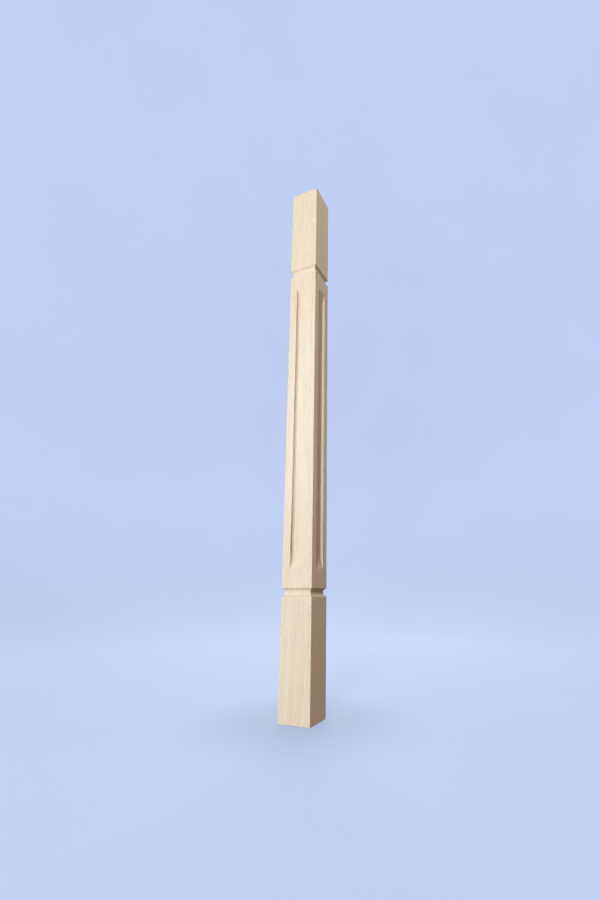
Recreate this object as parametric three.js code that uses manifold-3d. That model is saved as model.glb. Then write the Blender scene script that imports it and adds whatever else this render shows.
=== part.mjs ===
// A square oak baluster, milled from one piece of wood.
//
// It is a straight post with a plain block at each end. A cove groove runs round all four faces
// where each block ends, and between the grooves each face has one long flat-bottomed flute.
// Millimetres, +Z up. The origin is at the centre of the bottom end, and -Y is the front.

import * as THREE from 'three';
import { mergeVertices } from 'three/addons/utils/BufferGeometryUtils.js';
import Module from 'manifold-3d';

// Driving dimensions of the post
const LENGTH = 900;
const SIDE = 50;
const FACES = 4;

// The sanded arrises: a small round along the four long edges, and a smaller one around both ends
const ARRIS_RADIUS = 0.8;
const END_ARRIS_RADIUS = 0.5;
const ARRIS_STEPS = 3;

// The cove grooves, one beside each end block
const BLOCK_LENGTH = 168;
const GROOVE_WIDTH = 12.4;
const GROOVE_DEPTH = 3.8;
const GROOVE_CUTTER_SIDES = 48;

// The flutes, cut by a disc cutter that leaves a curved run-out at both ends
const FLUTE_WIDTH = 23;
const FLUTE_DEPTH = 4.6;
const FLUTE_TO_GROOVE = 28;
const FLUTE_CUTTER_RADIUS = 70;
const FLUTE_RUN_OUT_STEPS = 14;

// How far a cutting shape stands out past the face that it cuts
const CUTTER_CLEARANCE = 5;

const RIGHT_ANGLE = Math.PI / 2;

const wasm = await Module();
wasm.setup();

/** The closed solid that a geometry bounds, moved by a matrix. */
function solidOf(geometry, matrix = new THREE.Matrix4()) {
  const bare = geometry.clone();
  bare.deleteAttribute('normal');
  bare.deleteAttribute('uv');
  bare.applyMatrix4(matrix);
  const merged = mergeVertices(bare);
  return new wasm.Manifold(new wasm.Mesh({
    numProp: 3,
    vertProperties: new Float32Array(merged.attributes.position.array),
    triVerts: new Uint32Array(merged.index.array),
  }));
}

/** The three.js geometry of a solid, with flat facets. */
function geometryOf(solid) {
  const mesh = solid.getMesh();
  const geometry = new THREE.BufferGeometry();
  geometry.setAttribute('position', new THREE.BufferAttribute(mesh.vertProperties, 3));
  geometry.setIndex(new THREE.BufferAttribute(mesh.triVerts, 1));
  geometry.computeVertexNormals();
  return geometry;
}

/** A square with round corners, about the origin. */
function squareSection(side, radius) {
  const half = side / 2;
  const shape = new THREE.Shape();
  for (let corner = 0; corner < FACES; corner += 1) {
    const angle = corner * RIGHT_ANGLE;
    const towards = new THREE.Vector2(half - radius, half - radius).rotateAround(new THREE.Vector2(), angle);
    shape.absarc(towards.x, towards.y, radius, angle, angle + RIGHT_ANGLE, false);
  }
  shape.closePath();
  return shape;
}

/** The squared post with its eased edges, before any cut. */
function post() {
  const geometry = new THREE.ExtrudeGeometry(squareSection(SIDE, ARRIS_RADIUS), {
    depth: LENGTH - 2 * END_ARRIS_RADIUS,
    curveSegments: ARRIS_STEPS,
    bevelEnabled: true,
    bevelThickness: END_ARRIS_RADIUS,
    bevelSize: END_ARRIS_RADIUS,
    bevelOffset: -END_ARRIS_RADIUS,
    bevelSegments: ARRIS_STEPS,
  });
  geometry.translate(0, 0, END_ARRIS_RADIUS);
  return solidOf(geometry);
}

/** Turns a cutter made for the front face to another face, counted round from the front. */
function turnedTo(face) {
  return new THREE.Matrix4().makeRotationZ(face * RIGHT_ANGLE);
}

/** The round bar that cuts the front side of a cove groove, at a height. */
function grooveCutter(height) {
  const radius = (GROOVE_WIDTH ** 2 / 4 + GROOVE_DEPTH ** 2) / (2 * GROOVE_DEPTH);
  const barLength = SIDE + 2 * CUTTER_CLEARANCE;
  const geometry = new THREE.CylinderGeometry(radius, radius, barLength, GROOVE_CUTTER_SIDES);
  geometry.rotateZ(RIGHT_ANGLE);
  geometry.translate(0, -(SIDE / 2 - GROOVE_DEPTH + radius), height);
  return geometry;
}

/** The side view of the flute's cut: along the post, and out from the face. */
function fluteProfile(length) {
  const radius = FLUTE_CUTTER_RADIUS;
  const centreOut = radius - FLUTE_DEPTH;
  const runOut = Math.sqrt(radius ** 2 - centreOut ** 2);
  const sweep = Math.acos((centreOut - CUTTER_CLEARANCE) / radius);
  const shape = new THREE.Shape();
  shape.absarc(runOut, centreOut, radius, -RIGHT_ANGLE - sweep, -RIGHT_ANGLE, false);
  shape.absarc(length - runOut, centreOut, radius, -RIGHT_ANGLE, -RIGHT_ANGLE + sweep, false);
  shape.closePath();
  return shape;
}

/** The disc cutter's whole path along the front face's flute. */
function fluteCutter() {
  const start = BLOCK_LENGTH + GROOVE_WIDTH + FLUTE_TO_GROOVE;
  const geometry = new THREE.ExtrudeGeometry(fluteProfile(LENGTH - 2 * start), {
    depth: FLUTE_WIDTH,
    curveSegments: FLUTE_RUN_OUT_STEPS,
    bevelEnabled: false,
  });
  geometry.translate(0, 0, -FLUTE_WIDTH / 2);
  const alongPost = new THREE.Vector3(0, 0, 1);
  const outOfFace = new THREE.Vector3(0, -1, 0);
  const acrossFace = new THREE.Vector3().crossVectors(alongPost, outOfFace);
  geometry.applyMatrix4(new THREE.Matrix4().makeBasis(alongPost, outOfFace, acrossFace));
  geometry.translate(0, -SIDE / 2, start);
  return geometry;
}

/** The finished baluster: the post less its grooves and flutes. */
function balusterSolid() {
  const grooveHeight = BLOCK_LENGTH + GROOVE_WIDTH / 2;
  const cutters = [grooveCutter(grooveHeight), grooveCutter(LENGTH - grooveHeight), fluteCutter()];
  let solid = post();
  for (let face = 0; face < FACES; face += 1) {
    for (const cutter of cutters) {
      solid = solid.subtract(solidOf(cutter, turnedTo(face)));
    }
  }
  return solid;
}

const oak = new THREE.MeshStandardMaterial({ color: 0xe8d6b9, roughness: 0.72, metalness: 0 });

const baluster = new THREE.Mesh(geometryOf(balusterSolid()), oak);
baluster.name = 'baluster';

const model = new THREE.Group();
model.add(baluster);

export default model;
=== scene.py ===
"""A square baluster of bare pale oak, standing on a plain studio floor."""

import logging
import math
from dataclasses import dataclass
from enum import Enum, IntEnum
from typing import Optional, Sequence, Union

import bpy
import numpy as np
from mathutils import Euler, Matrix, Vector


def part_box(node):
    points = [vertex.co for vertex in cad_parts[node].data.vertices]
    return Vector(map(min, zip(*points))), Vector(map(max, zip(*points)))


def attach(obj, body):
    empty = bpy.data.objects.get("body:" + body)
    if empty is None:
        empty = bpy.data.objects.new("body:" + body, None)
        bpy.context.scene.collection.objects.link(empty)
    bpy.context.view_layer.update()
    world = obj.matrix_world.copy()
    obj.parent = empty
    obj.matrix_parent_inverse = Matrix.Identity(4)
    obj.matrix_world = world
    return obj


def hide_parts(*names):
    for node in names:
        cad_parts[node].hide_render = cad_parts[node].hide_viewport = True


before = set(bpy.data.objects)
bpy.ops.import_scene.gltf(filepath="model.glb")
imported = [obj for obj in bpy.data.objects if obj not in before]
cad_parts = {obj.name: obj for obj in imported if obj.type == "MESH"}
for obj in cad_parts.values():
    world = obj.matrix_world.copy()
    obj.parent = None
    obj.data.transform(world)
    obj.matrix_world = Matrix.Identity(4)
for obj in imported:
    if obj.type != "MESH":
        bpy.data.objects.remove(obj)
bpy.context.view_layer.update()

LOG = logging.getLogger("baluster")
MM = 0.001
NODE = "baluster"

Value = Union[float, Sequence[float], bpy.types.NodeSocket]


def place_object(name: str, data: bpy.types.ID) -> bpy.types.Object:
    """Puts a new object in the scene.

    Args:
        name: The object's name.
        data: Its mesh, camera or light.

    Returns:
        The object.
    """
    item = bpy.data.objects.new(name, data)
    bpy.context.scene.collection.objects.link(item)
    return item


# Shapes

class Face(Enum):
    """The four long faces, by how many quarter turns each lies from the front."""

    FRONT = 0
    RIGHT = 1
    BACK = 2
    LEFT = 3

    @property
    def turn(self) -> float:
        """The face's turn about the post's axis, in radians."""
        return self.value * math.pi / 2


class Seed(IntEnum):
    """The first seed of each kind of wander, to which a face's or an edge's number is added."""

    ARRIS = 11
    ARRIS_RIPPLE = 31
    LIP = 51
    BOW = 71
    TWIST = 81
    TEAR = 95


@dataclass(frozen=True)
class Drift:
    """A slow random wander along the post, the same on every run.

    Attributes:
        seed: Which wander it is.
        step: The distance between its turning points, in metres.
        reach: The furthest that it goes to either side, in metres.
    """

    seed: int
    step: float
    reach: float

    def at(self, height: np.ndarray) -> np.ndarray:
        """Gives the wander at some heights.

        Args:
            height: Heights above the bottom end, in metres.

        Returns:
            The wander at each height, in metres.
        """
        place = height / self.step
        index = np.floor(place).astype(int)
        knots = np.random.default_rng(self.seed).uniform(-1.0, 1.0, index.max() + 2)
        share = place - index
        share = share * share * (3.0 - 2.0 * share)
        return self.reach * (knots[index] * (1.0 - share) + knots[index + 1] * share)


@dataclass(frozen=True)
class CoveGroove:
    """The round-bottomed groove that runs round all four faces beside an end block."""

    middle: float
    width: float = 12.4 * MM
    depth: float = 3.8 * MM

    @property
    def radius(self) -> float:
        """The radius of the round bottom."""
        return (self.width ** 2 / 4 + self.depth ** 2) / (2 * self.depth)

    def cut(self, height: np.ndarray) -> np.ndarray:
        """How far the cove lies below the faces at each height, and 0 outside the groove."""
        off = np.minimum(np.abs(height - self.middle), self.width / 2)
        return np.sqrt(self.radius ** 2 - off ** 2) - (self.radius - self.depth)

    def lips(self) -> tuple[float, float]:
        """The heights of the lower and the upper lip."""
        return self.middle - self.width / 2, self.middle + self.width / 2


@dataclass(frozen=True)
class Flute:
    """The long flat-bottomed flute, with the run-outs that its disc cutter leaves."""

    low: float
    high: float
    width: float = 23.0 * MM
    depth: float = 4.6 * MM
    cutter_radius: float = 70.0 * MM
    wall_lean: float = 0.25 * MM
    lip_round: float = 0.35 * MM
    lip_wander: float = 0.1 * MM
    lip_wave: float = 14.0 * MM
    foot_round: float = 0.3 * MM

    @property
    def run_out(self) -> float:
        """The length over which the floor rises to the face."""
        return math.sqrt(self.cutter_radius ** 2 - (self.cutter_radius - self.depth) ** 2)

    def cut(self, height: np.ndarray) -> np.ndarray:
        """How far the floor lies below the face at each height, and 0 beyond the flute's ends."""
        off = self.run_out - np.clip(np.minimum(height - self.low, self.high - height), 0.0, self.run_out)
        return np.sqrt(self.cutter_radius ** 2 - off ** 2) - (self.cutter_radius - self.depth)


@dataclass(frozen=True)
class Tear:
    """Torn grain at the low end of the front flute's left wall, where splinters came away."""

    low: float = 223.0 * MM
    high: float = 283.0 * MM
    fade: float = 10.0 * MM
    depth: float = 0.35 * MM
    step: float = 1.7 * MM
    seed: int = Seed.TEAR

    def at(self, height: np.ndarray) -> np.ndarray:
        """How far the wall is broken back at each height, and 0 beyond the tear."""
        share = np.clip(np.minimum(height - self.low, self.high - height) / self.fade, 0.0, 1.0)
        return share * (self.depth + Drift(self.seed, self.step, self.depth).at(height))


@dataclass
class Baluster:
    """The whole baluster: one piece of oak with eased arrises, coves and flutes."""

    block_length: float = 168.0 * MM
    flute_to_groove: float = 28.0 * MM
    arris: float = 0.8 * MM
    arris_wear: float = 0.3 * MM
    arris_wave: float = 46.0 * MM
    arris_ripple: float = 9.0 * MM
    groove_arris: float = 0.35 * MM
    groove_lead: float = 0.5 * MM
    end_arris: float = 0.5 * MM
    face_wander: float = 0.03 * MM
    bow_wave: float = 60.0 * MM
    twist_wave: float = 90.0 * MM
    ring_step: float = 3.2 * MM
    tear_step: float = 1.0 * MM
    closest_rings: float = 0.12 * MM
    support: float = 0.3 * MM
    arc_steps: int = 4
    groove_steps: int = 21
    run_out_steps: int = 18
    margin_steps: int = 5
    foot_steps: int = 3
    floor_steps: int = 10
    floor_crowding: float = 1.3
    cap_steps: int = 8

    def __post_init__(self) -> None:
        """Takes the length and the side from the frame, and places the cuts."""
        low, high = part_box(NODE)
        self.base = low[2]
        self.length = high[2] - low[2]
        self.half = (high[0] - low[0]) / 2
        groove_width = CoveGroove(0.0).width
        middle = self.block_length + groove_width / 2
        self.grooves = (CoveGroove(middle), CoveGroove(self.length - middle))
        start = self.block_length + groove_width + self.flute_to_groove
        self.flute = Flute(start, self.length - start)
        self.tear = Tear()

    def groove_cut(self, height: np.ndarray) -> np.ndarray:
        """The depth of whichever groove is at each height."""
        return np.maximum(self.grooves[0].cut(height), self.grooves[1].cut(height))

    def end_inset(self, height: np.ndarray) -> np.ndarray:
        """How far the round of the ends draws the section in, at each height."""
        round_over = self.end_arris
        to_end = np.clip(np.minimum(height, self.length - height), 0.0, round_over)
        return round_over - np.sqrt(np.maximum(round_over ** 2 - (round_over - to_end) ** 2, 0.0))

    def ring_heights(self) -> np.ndarray:
        """Gives the heights of the mesh's rings, closer together where the shape turns.

        Returns:
            Heights above the bottom end, in metres, from one end to the other.
        """
        quarter = np.linspace(0.0, math.pi / 2, self.arc_steps)
        end_round = self.end_arris * (1.0 - np.cos(quarter))
        parts = [end_round, self.length - end_round]
        parts.append(np.arange(self.end_arris + self.support, self.length - self.end_arris, self.ring_step))
        for groove in self.grooves:
            low, high = groove.lips()
            parts.append(np.linspace(low, high, self.groove_steps))
            parts.append(np.array([low - self.support, high + self.support]))
        flute = self.flute
        ramp = np.linspace(0.0, flute.run_out, self.run_out_steps)
        beside = np.array([-self.support, self.support])
        parts += [flute.low + ramp, flute.high - ramp, flute.low + beside, flute.high + beside]
        parts.append(np.arange(self.tear.low, self.tear.high, self.tear_step))
        heights = np.sort(np.concatenate(parts))
        kept = [heights[0]]
        for height in heights[1:-1]:
            if height - kept[-1] > self.closest_rings:
                kept.append(height)
        if heights[-1] - kept[-1] < self.closest_rings:
            kept.pop()
        kept.append(heights[-1])
        return np.array(kept)

    def arris_radius(self, height: np.ndarray, corner: int) -> np.ndarray:
        """Gives the round of one long edge, which the sanding left a little uneven.

        Args:
            height: Heights above the bottom end, in metres.
            corner: The edge's number, counted round from the front's left.

        Returns:
            The radius at each height, in metres.
        """
        worn = self.arris + Drift(Seed.ARRIS + corner, self.arris_wave, self.arris_wear).at(height)
        worn += Drift(Seed.ARRIS_RIPPLE + corner, self.arris_ripple, self.arris_wear / 4).at(height)
        in_groove = np.clip(self.groove_cut(height) / self.groove_lead, 0.0, 1.0)
        return worn + (self.groove_arris - worn) * in_groove

    def half_face(self, height: np.ndarray, face: Face, side: int) -> tuple[np.ndarray, np.ndarray]:
        """Gives one half of a face, from its corner to its middle line.

        Args:
            height: Heights above the bottom end, in metres.
            face: Which face it is.
            side: -1 for the half towards the previous face, 1 for the other.

        Returns:
            Two arrays, one row for each height: how far each point stands across the face from
            its middle line, and how far it stands out from the post's axis.
        """
        flute = self.flute
        corner = face.value if side < 0 else (face.value + 1) % len(Face)
        radius = self.arris_radius(height, corner)[:, None]
        half = (self.half - self.groove_cut(height) - self.end_inset(height))[:, None]
        floor = flute.cut(height)[:, None]
        wander = Drift(Seed.LIP + 2 * face.value + (side > 0), flute.lip_wave, flute.lip_wander)
        lip = flute.width / 2 + wander.at(height)[:, None]
        if face is Face.FRONT and side < 0:
            lip = lip + self.tear.at(height)[:, None]
        turn = np.linspace(math.pi / 4, 0.0, self.arc_steps)[None, :]
        columns = [half - radius + radius * np.sin(turn)]
        outs = [half - radius + radius * np.cos(turn)]
        beside_arc = half - radius - self.support
        beside_lip = lip + flute.lip_round + self.support
        share = np.linspace(0.0, 1.0, self.margin_steps)[None, :]
        columns.append(beside_arc + (beside_lip - beside_arc) * share)
        outs.append(half + 0.0 * share)
        dip = np.linspace(0.0, math.pi / 2, self.arc_steps)[None, :]
        lip_depth = np.minimum(flute.lip_round * (1.0 - np.cos(dip)), floor)
        columns.append(lip + flute.lip_round * (1.0 - np.sin(dip)))
        outs.append(half - lip_depth)
        foot = flute.foot_round
        deep = np.maximum(floor - foot, lip_depth[:, -1:])
        columns.append(lip - flute.wall_lean * np.array([[0.5, 1.0]]))
        outs.append(half - np.concatenate([(lip_depth[:, -1:] + deep) / 2, deep], axis=1))
        rise = np.linspace(math.pi / 6, math.pi / 2, self.foot_steps)[None, :]
        columns.append(lip - flute.wall_lean - foot * (1.0 - np.cos(rise)))
        outs.append(half - np.maximum(floor - foot * (1.0 - np.sin(rise)), deep))
        floor_edge = lip - flute.wall_lean - foot - self.support
        crowd = np.linspace(0.0, 1.0, self.floor_steps + 1)[None, :-1] ** self.floor_crowding
        columns.append(floor_edge * (1.0 - crowd))
        outs.append(half - floor + 0.0 * crowd)
        return side * np.concatenate(columns, axis=1), np.concatenate(outs, axis=1)

    def rings(self, height: np.ndarray) -> np.ndarray:
        """Gives the rings of points round the post.

        Args:
            height: Heights above the bottom end, in metres.

        Returns:
            The points, as rings by points by 3.
        """
        rows = []
        for face in Face:
            left, left_out = self.half_face(height, face, -1)
            right, right_out = self.half_face(height, face, 1)
            middle_out = self.half - self.groove_cut(height) - self.end_inset(height)
            middle_out -= self.flute.cut(height)
            across = np.concatenate([left, np.zeros((len(height), 1)), right[:, :0:-1]], axis=1)
            out = np.concatenate([left_out, middle_out[:, None], right_out[:, :0:-1]], axis=1)
            bow = Drift(Seed.BOW + face.value, self.bow_wave, self.face_wander).at(height)[:, None]
            twist = Drift(Seed.TWIST + face.value, self.twist_wave, self.face_wander).at(height)[:, None]
            out = out - 2.0 * self.face_wander - bow - twist * across / self.half
            cos, sin = math.cos(face.turn), math.sin(face.turn)
            rows.append(np.stack([across * cos + out * sin, across * sin - out * cos], axis=2))
        flat = np.concatenate(rows, axis=1)
        tall = np.broadcast_to((self.base + height)[:, None, None], (*flat.shape[:2], 1))
        return np.concatenate([flat, tall], axis=2)

    def build(self) -> bpy.types.Object:
        """Makes the baluster's mesh.

        Returns:
            The new object, with its sawn ends in the second material slot.
        """
        heights = self.ring_heights()
        points = self.rings(heights)
        count, around = points.shape[:2]
        index = np.arange(count * around).reshape(count, around)
        ahead = np.roll(index, -1, axis=1)
        quads = np.stack([index[:-1], ahead[:-1], ahead[1:], index[1:]], axis=2).reshape(-1, 4)
        caps, cap_points = [], []
        total = count * around
        for ring, upward in ((index[0], False), (index[-1], True)):
            edge = points[0 if not upward else -1]
            previous = ring
            for step in range(1, self.cap_steps):
                shrink = 1.0 - step / self.cap_steps
                cap_points.append(edge * (shrink, shrink, 1.0))
                inner = np.arange(total, total + around)
                total += around
                caps.append(self.band(previous, inner, upward))
                previous = inner
            cap_points.append(np.array([[0.0, 0.0, edge[0, 2]]]))
            centre = np.full(around, total)
            total += 1
            fan = np.stack([previous, np.roll(previous, -1), centre], axis=1)
            caps.append(fan if upward else fan[:, ::-1])
        vertices = np.concatenate([points.reshape(-1, 3), *cap_points])
        faces = [row.tolist() for part in (quads, *caps) for row in part]
        mesh = bpy.data.meshes.new("oak_baluster")
        mesh.from_pydata(vertices.tolist(), [], faces)
        mesh.polygons.foreach_set("use_smooth", np.ones(len(faces), dtype=bool))
        slots = np.zeros(len(faces), dtype=np.int32)
        slots[len(quads):] = 1
        mesh.polygons.foreach_set("material_index", slots)
        mesh.update()
        return place_object("oak_baluster", mesh)

    @staticmethod
    def band(outer: np.ndarray, inner: np.ndarray, upward: bool) -> np.ndarray:
        """The faces between two rings of an end's points, as rows of four point numbers."""
        faces = np.stack([outer, np.roll(outer, -1), np.roll(inner, -1), inner], axis=1)
        return faces if upward else faces[:, ::-1]

    def dress(self, piece: bpy.types.Object) -> None:
        """Puts the oak's finishes on the baluster's object."""
        piece.data.materials.append(SandedOak().material())
        piece.data.materials.append(SawnEnd().material())


# Shader nodes

class Board:
    """Lays shader nodes in a tree and joins them."""

    def __init__(self, tree: bpy.types.NodeTree) -> None:
        """Starts on a material's or a group's node tree."""
        self.tree = tree

    def put(self, kind: str, fed: dict[Union[int, str], Value], **settings: object) -> bpy.types.Node:
        """Adds a node.

        Args:
            kind: The node's type name, without its ShaderNode prefix.
            fed: What feeds each input, by its number or name.
            **settings: The node's own options.

        Returns:
            The new node.
        """
        node = self.tree.nodes.new("ShaderNode" + kind)
        for name, value in settings.items():
            setattr(node, name, value)
        for name, value in fed.items():
            self.feed(node.inputs[name], value)
        return node

    def feed(self, socket: bpy.types.NodeSocket, value: Value) -> None:
        """Links a socket to another, or sets it.

        Args:
            socket: The input socket.
            value: An output socket, a number or numbers.
        """
        if isinstance(value, bpy.types.NodeSocket):
            self.tree.links.new(value, socket)
        else:
            socket.default_value = value

    def math(self, operation: str, *values: Value) -> bpy.types.NodeSocket:
        """The result of a sum on numbers, given in order."""
        return self.put("Math", dict(enumerate(values)), operation=operation).outputs[0]

    def vector(self, operation: str, *values: Value) -> bpy.types.NodeSocket:
        """The result of a sum on vectors, given in order."""
        node = self.put("VectorMath", dict(enumerate(values)), operation=operation)
        return node.outputs["Value" if operation in ("LENGTH", "DOT_PRODUCT") else "Vector"]

    def part(self, value: Value, axis: str) -> bpy.types.NodeSocket:
        """One part of a vector, named X, Y or Z."""
        return self.put("SeparateXYZ", {0: value}).outputs[axis]

    def channel(self, colour: Value, name: str) -> bpy.types.NodeSocket:
        """One channel of a colour, named Red, Green or Blue."""
        return self.put("SeparateColor", {0: colour}).outputs[name]

    def joined(self, parts: Sequence[Value]) -> bpy.types.NodeSocket:
        """A vector of three parts."""
        return self.put("CombineXYZ", dict(enumerate(parts))).outputs[0]

    def grey(self, value: Value) -> bpy.types.NodeSocket:
        """A grey colour of one value."""
        return self.put("CombineColor", dict.fromkeys(range(3), value)).outputs[0]

    def step(self, value: Value, start: Value, end: Value,
             low: float = 0.0, high: float = 1.0) -> bpy.types.NodeSocket:
        """Adds a smooth step.

        Args:
            value: What is measured.
            start: Where the step starts.
            end: Where it ends.
            low: The result before the start.
            high: The result after the end.

        Returns:
            The result's socket.
        """
        fed = {"Value": value, "From Min": start, "From Max": end, "To Min": low, "To Max": high}
        return self.put("MapRange", fed, interpolation_type="SMOOTHSTEP").outputs["Result"]

    def bump_of(self, value: Value, start: float, full: float,
                fade: float, end: float) -> bpy.types.NodeSocket:
        """A smooth rise from 0 at start to 1 at full, and a fall from fade to 0 at end."""
        return self.math("MULTIPLY", self.step(value, start, full), self.step(value, fade, end, 1.0, 0.0))

    def blend(self, share: Value, first: Value, second: Value, mode: str = "MIX") -> bpy.types.NodeSocket:
        """Adds a mix of two colours.

        Args:
            share: How much of the second there is.
            first: The first colour.
            second: The second colour.
            mode: How they are mixed.

        Returns:
            The mixed colour's socket.
        """
        fed = {0: share, 6: first, 7: second}
        return self.put("Mix", fed, data_type="RGBA", blend_type=mode).outputs[2]

    def noise(self, place: Value, cell: tuple[float, float], detail: float = 2.0,
              rough: float = 0.5) -> bpy.types.NodeSocket:
        """Adds a cloudy noise.

        Args:
            place: Where it is read, in millimetres.
            cell: The width and the height of its clouds, in millimetres.
            detail: How many finer layers it has.
            rough: How strong those layers are.

        Returns:
            The noise's socket, from 0 to 1.
        """
        across, along = cell
        scaled = self.vector("MULTIPLY", place, (1.0 / across, 1.0 / across, 1.0 / along))
        fed = {"Vector": scaled, "Scale": 1.0, "Detail": detail, "Roughness": rough}
        return self.put("TexNoise", fed, noise_dimensions="3D").outputs["Fac"]

    def spots(self, place: Value, channel: str, amount: Value,
              inner: float, outer: float) -> bpy.types.NodeSocket:
        """Adds scattered spots, at most one in each cell of one unit.

        Args:
            place: Where they are read.
            channel: The channel of a cell's random colour that says whether it has a spot.
            amount: The share of the cells that have one.
            inner: How far from its middle a spot starts to fade.
            outer: Where it ends.

        Returns:
            The spots' socket, 1 in a spot.
        """
        fed = {"Vector": place, "Scale": 1.0}
        cells = self.put("TexVoronoi", fed, voronoi_dimensions="3D", feature="F1")
        wanted = self.math("LESS_THAN", self.channel(cells.outputs["Color"], channel), amount)
        shape = self.step(cells.outputs["Distance"], inner, outer, 1.0, 0.0)
        return self.math("MULTIPLY", wanted, shape)

    def waves(self, place: Value, scale: float, distortion: float,
              **settings: str) -> bpy.types.NodeSocket:
        """Adds bands of waves.

        Args:
            place: Where they are read, in millimetres.
            scale: How close together they are.
            distortion: How uneven they are.
            **settings: Their direction and their profile.

        Returns:
            The waves' socket, from 0 to 1.
        """
        fed = {"Vector": place, "Scale": scale, "Distortion": distortion}
        return self.put("TexWave", fed, wave_type="BANDS", **settings).outputs["Fac"]

    def off_axis(self, place: Value, choice: str) -> bpy.types.NodeSocket:
        """The greater or the lesser of a place's two distances from the post's axis, across."""
        size = self.vector("ABSOLUTE", place)
        return self.math(choice, self.part(size, "X"), self.part(size, "Y"))

    def millimetres(self) -> bpy.types.NodeSocket:
        """The place on the piece itself, in millimetres."""
        return self.vector("MULTIPLY", self.put("TexCoord", {}).outputs["Object"], (1.0 / MM,) * 3)

    def relief(self, shader: bpy.types.Node, height: Value) -> None:
        """Gives a material's Principled shader a fine relief, whose height is in millimetres."""
        bump = self.put("Bump", {"Strength": 1.0, "Distance": MM, "Height": height})
        self.feed(shader.inputs["Normal"], bump.outputs[0])


class Group:
    """A shader node group under construction."""

    def __init__(self, name: str, inputs: dict[str, Value], outputs: Sequence[str]) -> None:
        """Makes the group and its sockets.

        Args:
            name: The group's name.
            inputs: Each input's name and its usual value.
            outputs: The names of the outputs, which are all single values.
        """
        self.tree = bpy.data.node_groups.new(name, "ShaderNodeTree")
        self.board = Board(self.tree)
        for socket, usual in inputs.items():
            kind = "NodeSocketVector" if isinstance(usual, tuple) else "NodeSocketFloat"
            self.tree.interface.new_socket(socket, in_out="INPUT", socket_type=kind).default_value = usual
        for socket in outputs:
            self.tree.interface.new_socket(socket, in_out="OUTPUT", socket_type="NodeSocketFloat")
        self.inputs = self.tree.nodes.new("NodeGroupInput").outputs
        self.outputs = self.tree.nodes.new("NodeGroupOutput").inputs

    def place(self, board: Board, **values: Value) -> bpy.types.NodeOutputs:
        """Places the group in a material.

        Args:
            board: The material's board.
            **values: What feeds each input, with its spaces written as underscores.

        Returns:
            The placed group's outputs.
        """
        fed = {name.replace("_", " "): value for name, value in values.items()}
        return board.put("Group", fed, node_tree=self.tree).outputs


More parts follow.
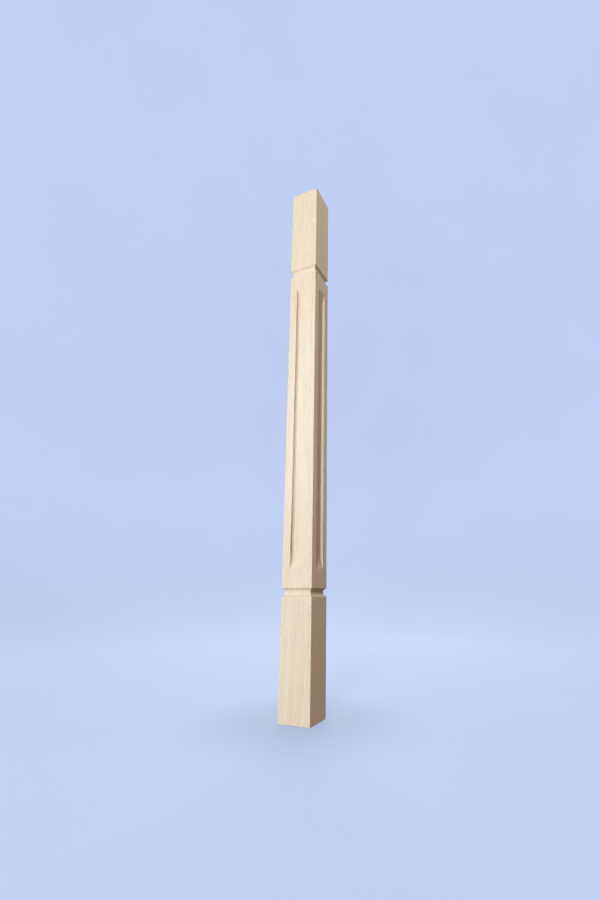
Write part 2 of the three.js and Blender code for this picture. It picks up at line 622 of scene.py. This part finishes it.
class OakFigure:
    """The oak's figure, as one solid piece of a log: its rings, pores and rays."""

    shared: Optional["OakFigure"] = None
    bend_cell: tuple[float, float] = (70.0, 420.0)
    bend_reach: float = 16.0
    ripple_cell: tuple[float, float] = (14.0, 90.0)
    ripple_reach: float = 1.6
    ring_radius: float = 110.0
    ray_reach: float = 17.0
    ray_height: float = 11.0

    @classmethod
    def get(cls) -> "OakFigure":
        """The one set of groups, which every finish shares."""
        if cls.shared is None:
            cls.shared = cls()
        return cls.shared

    def __init__(self) -> None:
        """Builds the groups."""
        self.rings = self.growth_rings()
        self.pores = self.open_pores()
        self.rays = self.ray_ribbons()

    def lay(self, board: Board, place: Value, crowd: float, least: float) -> tuple:
        """Lays the figure in a material.

        Args:
            board: The material's board.
            place: The place on the piece, in millimetres.
            crowd: How many more pores the open early wood has, from 0 to 1.
            least: How many pores there are in all the wood, from 0 to 1.

        Returns:
            The outputs of the growth rings, the mask of the pores and the mask of the rays.
        """
        rings = self.rings.place(board, Place=place)
        crowding = board.math("MULTIPLY_ADD", rings["Early"], crowd, least)
        pores = self.pores.place(board, Place=place, Crowding=crowding)["Pores"]
        rays = self.rays.place(board, Place=place, Out=rings["Out"], Around=rings["Around"])["Rays"]
        return rings, pores, rays

    def growth_rings(self) -> Group:
        """Makes the yearly rings round a pith that lies outside the piece.

        Returns:
            The group. Out and Around are a place's distance from the pith and along its ring, in
            millimetres. Early is 1 in the open wood that each year begins with, Late rises through
            the rest of the year, and Year is the year's own tone.
        """
        inputs = {"Place": (0.0, 0.0, 0.0), "Pith": (-60.0, 92.0, 0.0), "Lean": (0.006, -0.011, 0.0),
                  "Ring Width": 2.3}
        group = Group("growth_rings", inputs, ("Out", "Around", "Early", "Late", "Year"))
        board, given = group.board, group.inputs
        height = board.part(given["Place"], "Z")
        bend = board.noise(given["Place"], self.bend_cell, detail=1.0)
        ripple = board.noise(given["Place"], self.ripple_cell)
        pith = board.vector("MULTIPLY_ADD", given["Lean"], board.joined([height] * 3), given["Pith"])
        flat = board.vector("MULTIPLY", board.vector("SUBTRACT", given["Place"], pith), (1.0, 1.0, 0.0))
        out = board.vector("LENGTH", flat)
        out = board.math("MULTIPLY_ADD", board.math("SUBTRACT", bend, 0.5), self.bend_reach, out)
        out = board.math("MULTIPLY_ADD", board.math("SUBTRACT", ripple, 0.5), self.ripple_reach, out)
        back = board.math("MULTIPLY", board.part(flat, "Y"), -1.0)
        angle = board.math("ARCTAN2", board.part(flat, "X"), back)
        around = board.math("MULTIPLY", angle, self.ring_radius)
        years = board.math("DIVIDE", out, given["Ring Width"])
        uneven = board.put("TexNoise", {"W": board.math("MULTIPLY", years, 0.31)}, noise_dimensions="1D")
        years = board.math("MULTIPLY_ADD", uneven.outputs["Fac"], 2.2, years)
        season = board.math("FRACT", years)
        early = board.bump_of(season, 0.0, 0.06, 0.24, 0.46)
        late = board.bump_of(season, 0.3, 0.95, 0.97, 1.0)
        tone = board.put("TexWhiteNoise", {"W": board.math("FLOOR", years)}, noise_dimensions="1D")
        results = {"Out": out, "Around": around, "Early": early, "Late": late,
                   "Year": tone.outputs["Value"]}
        for name, socket in results.items():
            board.feed(group.outputs[name], socket)
        return group

    @staticmethod
    def open_pores() -> Group:
        """Makes the open vessels: long dashes on the faces and round holes on the ends.

        Returns:
            The group. Pores is 1 in a pore, and pores crowd where Crowding is high.
        """
        inputs = {"Place": (0.0, 0.0, 0.0), "Width": 0.5, "Length": 9.0, "Crowding": 0.5}
        group = Group("open_pores", inputs, ("Pores",))
        board, given = group.board, group.inputs
        sizes = [board.math("DIVIDE", 1.0, given[size]) for size in ("Width", "Width", "Length")]
        place = board.vector("MULTIPLY", given["Place"], board.joined(sizes))
        board.feed(group.outputs["Pores"], board.spots(place, "Red", given["Crowding"], 0.16, 0.44))
        return group

    def ray_ribbons(self) -> Group:
        """Makes the rays: thin ribbons that run out from the pith and stand on edge.

        Returns:
            The group. Rays is 1 in a ray.
        """
        inputs = {"Place": (0.0, 0.0, 0.0), "Out": 0.0, "Around": 0.0, "Thickness": 0.9, "Amount": 0.2}
        group = Group("ray_ribbons", inputs, ("Rays",))
        board, given = group.board, group.inputs
        sides = [board.math("DIVIDE", given["Around"], given["Thickness"]),
                 board.math("DIVIDE", given["Out"], self.ray_reach),
                 board.math("DIVIDE", board.part(given["Place"], "Z"), self.ray_height)]
        rays = board.spots(board.joined(sides), "Green", given["Amount"], 0.2, 0.5)
        board.feed(group.outputs["Rays"], rays)
        return group


def new_surface(name: str) -> tuple[bpy.types.Material, Board, bpy.types.Node]:
    """Makes an empty material.

    Args:
        name: The material's name.

    Returns:
        The material, its board and its Principled shader.
    """
    material = bpy.data.materials.new(name)
    material.use_nodes = True
    shader = material.node_tree.nodes["Principled BSDF"]
    return material, Board(material.node_tree), shader


@dataclass(frozen=True)
class Fleck:
    """A pale ray fleck that the saw laid open on the front face.

    Attributes:
        across: Its middle, in millimetres to the right of the face's middle line.
        height: Its middle, in millimetres above the bottom end.
        reach: Half its length, in millimetres.
        thickness: Half its width, in millimetres.
        turn: Its slope above the level, in degrees.
        strength: How pale it is, from 0 to 1.
    """

    across: float
    height: float
    reach: float
    thickness: float
    turn: float
    strength: float = 0.7

    def mask(self, board: Board, place: Value, ragged: Value) -> bpy.types.NodeSocket:
        """Lays the fleck's nodes.

        Args:
            board: The material's board.
            place: The place on the piece, in millimetres.
            ragged: A noise from 0 to 1 that breaks its outline.

        Returns:
            The mask's socket.
        """
        cos, sin = math.cos(math.radians(self.turn)), math.sin(math.radians(self.turn))
        off = board.vector("SUBTRACT", place, (self.across, 0.0, self.height))
        along = board.vector("DOT_PRODUCT", off, (cos / self.reach, 0.0, sin / self.reach))
        over = board.vector("DOT_PRODUCT", off, (-sin / self.thickness, 0.0, cos / self.thickness))
        away = board.math("ADD", board.math("POWER", along, 2.0), board.math("POWER", over, 2.0))
        edge = board.math("MULTIPLY_ADD", ragged, 3.2, -0.6)
        return board.step(away, board.math("MULTIPLY", edge, 0.2), edge, self.strength, 0.0)


@dataclass(frozen=True)
class Mark:
    """A dark mark: torn grain with the shade of its crevice painted in, or painted shade in a recess.

    Attributes:
        middle: Its middle, in millimetres.
        reach: Half its size along each axis, in millimetres.
        soft: Where it starts to fade, as a share of its reach.
        strength: How dark it is, from 0 to 1.
    """

    middle: tuple[float, float, float]
    reach: tuple[float, float, float]
    soft: float
    strength: float

    def mask(self, board: Board, place: Value, ragged: Value) -> bpy.types.NodeSocket:
        """Lays the mark's nodes.

        Args:
            board: The material's board.
            place: The place on the piece, in millimetres.
            ragged: A noise from 0 to 1 that breaks its outline.

        Returns:
            The mask's socket.
        """
        off = board.vector("DIVIDE", board.vector("SUBTRACT", place, self.middle), self.reach)
        away = board.math("MULTIPLY_ADD", ragged, -0.8, board.vector("LENGTH", off))
        return board.step(away, self.soft - 0.4, 0.6, self.strength, 0.0)


@dataclass(frozen=True)
class SandedOak:
    """The long faces: pale bare oak, sanded smooth, and a little rougher where it was milled."""

    late: tuple[float, ...] = (0.735, 0.585, 0.402, 1.0)
    early: tuple[float, ...] = (0.665, 0.505, 0.325, 1.0)
    warm: tuple[float, ...] = (0.725, 0.550, 0.362, 1.0)
    pale: tuple[float, ...] = (0.765, 0.635, 0.465, 1.0)
    olive: tuple[float, ...] = (0.676, 0.571, 0.368, 1.0)
    pore: tuple[float, ...] = (0.34, 0.23, 0.13, 1.0)
    ray: tuple[float, ...] = (0.80, 0.68, 0.52, 1.0)
    # Near-black: the torn grain's colour with the shade of its crevice painted in.
    torn_and_shaded: tuple[float, ...] = (0.075, 0.040, 0.022, 1.0)
    # Brown tint multiplied in as painted shade at the right flute's ends and in the right face's low
    # groove.
    painted_shade: tuple[float, ...] = (0.72, 0.63, 0.52, 1.0)
    roughness: float = 0.62
    pore_strength: float = 0.42
    ray_strength: float = 0.45
    cloud_cell: tuple[float, float] = (26.0, 150.0)
    blotch_cell: tuple[float, float] = (9.0, 75.0)
    streak_cell: tuple[float, float] = (3.2, 260.0)
    dash_cell: tuple[float, float] = (1.5, 17.0)
    fibre_cell: tuple[float, float] = (0.7, 40.0)
    ragged_cell: tuple[float, float] = (0.7, 3.0)
    fibre_relief: float = 0.03
    ripple_relief: float = 0.02
    pore_relief: float = -0.05
    tear_relief: float = -0.3
    flecks: tuple[Fleck, ...] = (
        Fleck(-18.5, 829.0, reach=4.6, thickness=4.0, turn=10.0),
        Fleck(-19.5, 807.0, reach=2.8, thickness=3.2, turn=0.0),
        Fleck(19.5, 828.0, reach=4.2, thickness=4.4, turn=40.0),
        Fleck(-2.0, 829.0, reach=11.0, thickness=0.9, turn=2.0),
        Fleck(-5.5, 766.5, reach=6.0, thickness=1.6, turn=12.0),
        Fleck(6.5, 771.5, reach=6.5, thickness=1.8, turn=22.0),
        Fleck(-5.0, 212.5, reach=5.0, thickness=1.0, turn=40.0, strength=0.45),
        Fleck(1.0, 215.0, reach=8.0, thickness=1.3, turn=40.0, strength=0.52),
        Fleck(6.5, 214.0, reach=5.5, thickness=1.0, turn=42.0, strength=0.45),
    )
    # Torn grain on the front flute's left wall: the tear is real, its near-black darkness is painted shade
    # in the crevice.
    tears_with_painted_shade: tuple[Mark, ...] = (
        Mark(middle=(-11.4, -22.7, 242.0), reach=(1.2, 1.5, 19.0), soft=0.5, strength=0.92),
        Mark(middle=(-11.4, -23.0, 262.0), reach=(1.0, 1.2, 24.0), soft=0.3, strength=0.5),
    )
    # Painted shade in recesses: the right flute's two ends and the right face's low groove, darkened where
    # light does not reach.
    painted_shades: tuple[Mark, ...] = (
        Mark(middle=(22.5, -8.5, 217.0), reach=(7.0, 6.0, 13.0), soft=0.1, strength=0.85),
        Mark(middle=(22.5, -10.5, 684.0), reach=(6.0, 4.0, 10.0), soft=0.3, strength=0.6),
        Mark(middle=(22.0, 2.0, 175.5), reach=(9.0, 26.0, 5.0), soft=0.4, strength=0.75),
    )

    def material(self) -> bpy.types.Material:
        """Builds the finish.

        Returns:
            The material.
        """
        material, board, shader = new_surface("sanded_oak")
        place = board.millimetres()
        rings, pores, rays = OakFigure.get().lay(board, place, crowd=0.6, least=0.05)
        fibre = board.noise(place, self.fibre_cell, detail=4.0, rough=0.6)
        ragged = board.noise(place, self.ragged_cell, detail=3.0, rough=0.6)
        inside = self.below_face(board, place)
        edge = self.eased_edge(board, place)
        flecks = self.all_of(self.flecks, board, place, ragged)
        flecks = board.math("MAXIMUM", board.math("MULTIPLY", rays, self.ray_strength),
                            board.math("MULTIPLY", flecks, self.front_side(board, place)))
        # Mask of the painted shade in the recesses.
        painted_shade = self.all_of(self.painted_shades, board, place, ragged)
        # Mask of the tear, which also carries its painted shade.
        tear = self.all_of(self.tears_with_painted_shade, board, place, ragged)
        colour = self.wood_colour(board, place, rings, fibre, edge)
        colour = board.blend(flecks, colour, self.ray)
        colour = board.blend(board.math("MULTIPLY", pores, self.pore_strength), colour, self.pore)
        colour = board.blend(painted_shade, colour, self.painted_shade, "MULTIPLY")
        board.feed(shader.inputs["Base Color"], board.blend(tear, colour, self.torn_and_shaded))
        rough = self.roughness
        for mask, change in ((inside, 0.1), (flecks, -0.12), (edge, -0.08), (pores, 0.15)):
            rough = board.math("MULTIPLY_ADD", mask, change, rough)
        board.feed(shader.inputs["Roughness"], rough)
        ripple = board.math("MULTIPLY", self.cutter_ripple(board, place), inside)
        height = board.math("MULTIPLY", ripple, self.ripple_relief)
        reliefs = ((fibre, self.fibre_relief), (pores, self.pore_relief), (tear, self.tear_relief))
        for mask, depth in reliefs:
            height = board.math("MULTIPLY_ADD", mask, depth, height)
        board.relief(shader, height)
        return material

    def wood_colour(self, board: Board, place: Value, rings: bpy.types.NodeOutputs,
                    fibre: Value, edge: Value) -> bpy.types.NodeSocket:
        """Gives the wood's own colour, before its pores and flecks.

        Args:
            board: The material's board.
            place: The place on the piece, in millimetres.
            rings: The outputs of the growth rings.
            fibre: The noise of the fine fibres.
            edge: The mask of the eased edges.

        Returns:
            The colour's socket.
        """
        cells = (self.cloud_cell, self.blotch_cell, self.streak_cell)
        cloud, blotch, streak = (board.noise(place, cell) for cell in cells)
        dash = board.noise(place, self.dash_cell, detail=1.0)
        open_wood = board.math("MULTIPLY", rings["Early"], board.step(rings["Year"], 0.0, 1.0, 0.45, 1.0))
        colour = board.blend(open_wood, self.late, self.early)
        colour = board.blend(board.step(cloud, 0.35, 0.7, 0.0, 0.6), colour, self.warm)
        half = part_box(NODE)[1][2] / 2 / MM
        height = board.part(place, "Z")
        from_middle = board.math("ABSOLUTE", board.math("SUBTRACT", height, half))
        shaft = board.step(from_middle, 0.2 * half, 0.55 * half, 0.75, 0.0)
        colour = board.blend(shaft, colour, self.pale)
        blocks = board.step(from_middle, 0.6 * half, 0.75 * half, 0.0, 0.4)
        blocks = board.math("MULTIPLY", blocks, board.step(height, 0.8 * half, 1.2 * half, 0.4, 1.0))
        olive = board.math("ADD", board.step(blotch, 0.42, 0.62, 0.0, 0.3), blocks)
        colour = board.blend(olive, colour, self.olive)
        shade = board.step(fibre, 0.25, 0.75, 0.955, 1.035)
        shade = board.math("ADD", shade, board.step(dash, 0.55, 0.75, 0.0, -0.07))
        shade = board.math("ADD", shade, board.step(streak, 0.3, 0.7, -0.03, 0.03))
        shade = board.math("MULTIPLY_ADD", edge, 0.04, shade)
        return board.blend(1.0, colour, board.grey(shade), "MULTIPLY")

    @staticmethod
    def all_of(marks: Sequence, board: Board, place: Value, ragged: Value) -> bpy.types.NodeSocket:
        """Gives the mask of several flecks or marks together.

        Args:
            marks: The flecks or marks.
            board: The material's board.
            place: The place on the piece, in millimetres.
            ragged: A noise from 0 to 1 that breaks their outlines.

        Returns:
            The mask's socket.
        """
        total = marks[0].mask(board, place, ragged)
        for mark in marks[1:]:
            total = board.math("MAXIMUM", total, mark.mask(board, place, ragged))
        return total

    @staticmethod
    def front_side(board: Board, place: Value) -> bpy.types.NodeSocket:
        """A mask of the wood near the front face."""
        return board.math("LESS_THAN", board.part(place, "Y"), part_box(NODE)[0][1] / MM * 0.7)

    @staticmethod
    def below_face(board: Board, place: Value) -> bpy.types.NodeSocket:
        """A mask of what the cutters reached, below the sanded faces."""
        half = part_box(NODE)[1][0] / MM
        return board.step(board.off_axis(place, "MAXIMUM"), half - 0.9, half - 0.35, 1.0, 0.0)

    @staticmethod
    def eased_edge(board: Board, place: Value) -> bpy.types.NodeSocket:
        """A mask of the four long edges, which the sanding wore pale and smooth."""
        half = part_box(NODE)[1][0] / MM
        return board.step(board.off_axis(place, "MINIMUM"), half - 1.4, half - 0.4)

    @staticmethod
    def cutter_ripple(board: Board, place: Value) -> bpy.types.NodeSocket:
        """The fine ripple that a turning cutter leaves across its path, from 0 to 1."""
        return board.waves(place, scale=0.16, distortion=0.6, bands_direction="Z", wave_profile="SIN")


@dataclass(frozen=True)
class SawnEnd:
    """The two ends: end grain with its rings, pore holes and rays, and faint saw marks."""

    early: tuple[float, ...] = (0.60, 0.45, 0.28, 1.0)
    late: tuple[float, ...] = (0.50, 0.36, 0.215, 1.0)
    pore: tuple[float, ...] = (0.20, 0.13, 0.07, 1.0)
    ray: tuple[float, ...] = (0.68, 0.54, 0.37, 1.0)
    roughness: float = 0.8

    def material(self) -> bpy.types.Material:
        """Builds the finish.

        Returns:
            The material.
        """
        material, board, shader = new_surface("sawn_oak_end")
        place = board.millimetres()
        rings, pores, rays = OakFigure.get().lay(board, place, crowd=0.8, least=0.08)
        saw = board.waves(place, scale=0.22, distortion=1.5, bands_direction="DIAGONAL", wave_profile="SAW")
        colour = board.blend(rings["Late"], self.early, self.late)
        colour = board.blend(board.math("MULTIPLY", rays, 0.5), colour, self.ray)
        colour = board.blend(board.math("MULTIPLY", pores, 0.75), colour, self.pore)
        colour = board.blend(board.math("MULTIPLY", saw, 0.1), colour, self.ray)
        board.feed(shader.inputs["Base Color"], colour)
        shader.inputs["Roughness"].default_value = self.roughness
        grooves = board.math("MULTIPLY", saw, 0.04)
        board.relief(shader, board.math("MULTIPLY_ADD", pores, -0.12, grooves))
        return material


# The studio

@dataclass(frozen=True)
class Viewpoint:
    """Where the photograph was taken from, and how it frames the baluster."""

    azimuth: float = math.radians(28.16)
    distance: float = 0.68597
    height: float = 0.17698
    pan: float = math.radians(24.401)
    tilt: float = math.radians(15.055)
    focal_px: float = 439.55
    centre_px: tuple[float, float] = (334.32, 472.26)
    image_px: tuple[float, float] = (600.0, 900.0)
    sensor_mm: float = 36.0

    def build(self) -> None:
        """Makes the camera and looks through it."""
        lens = bpy.data.cameras.new("camera")
        long_side = max(self.image_px)
        lens.sensor_width = self.sensor_mm
        lens.lens = self.focal_px / long_side * self.sensor_mm
        lens.shift_x = (self.image_px[0] / 2 - self.centre_px[0]) / long_side
        lens.shift_y = (self.centre_px[1] - self.image_px[1] / 2) / long_side
        lens.clip_start = 0.02
        camera = place_object("camera", lens)
        towards = Vector((math.sin(self.azimuth), -math.cos(self.azimuth), 0.0))
        camera.location = towards * self.distance + Vector((0.0, 0.0, self.height))
        camera.rotation_euler = Euler((math.pi / 2 + self.tilt, 0.0, self.pan))
        bpy.context.scene.camera = camera


@dataclass(frozen=True)
class Lamp:
    """One soft panel lamp, aimed at the baluster."""

    name: str
    azimuth: float
    elevation: float
    distance: float
    size: float
    power: float
    colour: tuple[float, float, float] = (1.0, 1.0, 1.0)
    aim: float = 0.45

    def build(self) -> None:
        """Makes the lamp."""
        data = bpy.data.lights.new(self.name, "AREA")
        data.shape = "SQUARE"
        data.size = self.size
        data.energy = self.power
        data.color = self.colour
        lamp = place_object(self.name, data)
        turn, rise = math.radians(self.azimuth), math.radians(self.elevation)
        back = Vector((math.sin(turn) * math.cos(rise), -math.cos(turn) * math.cos(rise), math.sin(rise)))
        lamp.location = Vector((0.0, 0.0, self.aim)) + back * self.distance
        lamp.rotation_mode = "QUATERNION"
        lamp.rotation_quaternion = back.to_track_quat("Z", "Y")
        lamp.visible_camera = False


@dataclass(frozen=True)
class Studio:
    """A pale floor that runs up into a round tent of thin cloth, with soft lamps in and round it.

    The cloth glows and lets all the light through, so it neither tints nor shades the wood.
    """

    flat: float = 1.1
    bend: float = 1.9
    crown: float = 4.4
    sides: int = 96
    bend_steps: int = 14
    crown_steps: int = 20
    cloth: tuple[float, ...] = (0.12, 0.126, 0.132, 1.0)
    glow: tuple[float, ...] = (0.438, 0.541, 0.80, 1.0)
    daylight: tuple[float, ...] = (1.0, 0.802, 0.682, 1.0)
    daylight_strength: float = 0.222
    mottle_cell: tuple[float, float] = (600.0, 600.0)
    mottle_reach: float = 0.01
    horizon: float = 900.0
    # Where the painted shadow round the foot starts to lift and where it ends, in millimetres from the
    # middle.
    painted_foot_shadow: tuple[float, float] = (15.0, 190.0)

    def lamps(self) -> list[Lamp]:
        """The lamps, round the baluster from the front."""
        return [
            Lamp("front_small", 12.0, 3.0, distance=2.0, size=0.3, power=32.6, aim=0.76,
                 colour=(0.865, 0.901, 1.0)),
            Lamp("key_left", -38.0, 0.0, distance=3.6, size=0.9, power=88.0, colour=(0.656, 0.837, 1.0)),
            Lamp("rim_right", 165.0, 14.0, distance=3.6, size=1.6, power=15.7, colour=(1.0, 0.942, 0.951)),
            Lamp("high_right", 135.0, 40.0, distance=1.3, size=0.6, power=4.2, aim=0.8,
                 colour=(1.0, 0.926, 0.869)),
            Lamp("back_wide", 205.0, 14.0, distance=3.6, size=2.4, power=100.0, colour=(0.85, 0.92, 1.0)),
            Lamp("warm_left", -95.0, 10.0, distance=3.6, size=1.6, power=16.0, colour=(1.0, 0.6, 0.25)),
        ]

    def profile(self) -> tuple[np.ndarray, np.ndarray]:
        """Gives the tent's outline from the middle of the floor up to its crown.

        Returns:
            The distances from the middle, and the heights, in metres.
        """
        bend = np.linspace(0.0, math.pi / 2, self.bend_steps)
        crown = np.linspace(0.0, math.pi / 2, self.crown_steps)[1:-1]
        reach = self.flat + self.bend
        radius = np.concatenate([[0.5, 1.0], self.flat + self.bend * np.sin(bend), reach * np.cos(crown)])
        rise = (self.crown - self.bend) * np.sin(crown)
        height = np.concatenate([[0.0, 0.0], self.bend * (1.0 - np.cos(bend)), self.bend + rise])
        return radius, height

    def tent(self) -> None:
        """Makes the floor and the tent as one sheet."""
        radius, height = self.profile()
        angle = np.linspace(0.0, 2.0 * math.pi, self.sides, endpoint=False)
        level = np.repeat(height[:, None], self.sides, axis=1)
        rows = np.stack([np.outer(radius, np.cos(angle)), np.outer(radius, np.sin(angle)), level], axis=2)
        count = len(radius) * self.sides
        points = [(0.0, 0.0, 0.0), *rows.reshape(-1, 3).tolist(), (0.0, 0.0, self.crown)]
        index = 1 + np.arange(count).reshape(len(radius), self.sides)
        ahead = np.roll(index, -1, axis=1)
        quads = np.stack([index[1:], ahead[1:], ahead[:-1], index[:-1]], axis=2).reshape(-1, 4)
        middle = [(0, a, b) for a, b in zip(index[0].tolist(), ahead[0].tolist())]
        top = [(count + 1, b, a) for a, b in zip(index[-1].tolist(), ahead[-1].tolist())]
        mesh = bpy.data.meshes.new("studio_tent")
        mesh.from_pydata(points, [], [*middle, *quads.tolist(), *top])
        mesh.polygons.foreach_set("use_smooth", np.ones(len(mesh.polygons), dtype=bool))
        mesh.materials.append(self.cloth_material())
        tent = place_object("studio_tent", mesh)
        tent.visible_diffuse = False
        tent.visible_glossy = False
        tent.visible_shadow = False

    def cloth_material(self) -> bpy.types.Material:
        """Builds the cloth's finish: matt, faintly mottled, dimmer on the floor, with a painted shadow
        where the baluster stands.

        Returns:
            The material.
        """
        material, board, shader = new_surface("tent_cloth")
        place = board.millimetres()
        mottle = board.noise(place, self.mottle_cell, detail=3.0)
        mottle = board.step(mottle, 0.3, 0.7, 1.0 - self.mottle_reach, 1.0 + self.mottle_reach)
        # Painted shade: the glow is dimmer on the floor than up the walls, as if less light fell there.
        rise = board.step(board.part(place, "Z"), 0.0, self.horizon, 0.92, 1.03)
        # Painted contact shadow: the glow dims round the baluster's foot.
        foot = board.step(board.vector("LENGTH", place), *self.painted_foot_shadow, 0.8, 1.0)
        shade = board.grey(board.math("MULTIPLY", board.math("MULTIPLY", rise, mottle), foot))
        board.feed(shader.inputs["Base Color"], self.cloth)
        shader.inputs["Roughness"].default_value = 0.95
        board.feed(shader.inputs["Emission Color"], board.blend(1.0, self.glow, shade, "MULTIPLY"))
        shader.inputs["Emission Strength"].default_value = 1.0
        return material

    def build(self) -> None:
        """Makes the tent, the lamps and the daylight."""
        self.tent()
        for lamp in self.lamps():
            lamp.build()
        world = bpy.data.worlds.new("daylight")
        world.use_nodes = True
        background = world.node_tree.nodes["Background"]
        background.inputs["Color"].default_value = self.daylight
        background.inputs["Strength"].default_value = self.daylight_strength
        bpy.context.scene.world = world
        bpy.context.scene.view_settings.view_transform = "Standard"


def main() -> None:
    """Builds the baluster and the studio."""
    logging.basicConfig(level=logging.INFO, format="%(name)s: %(message)s")
    Viewpoint().build()
    baluster = Baluster()
    piece = baluster.build()
    baluster.dress(piece)
    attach(piece, "root")
    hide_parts(NODE)
    LOG.info("%s: %d faces", piece.name, len(piece.data.polygons))
    Studio().build()


if __name__ == "__main__":
    main()
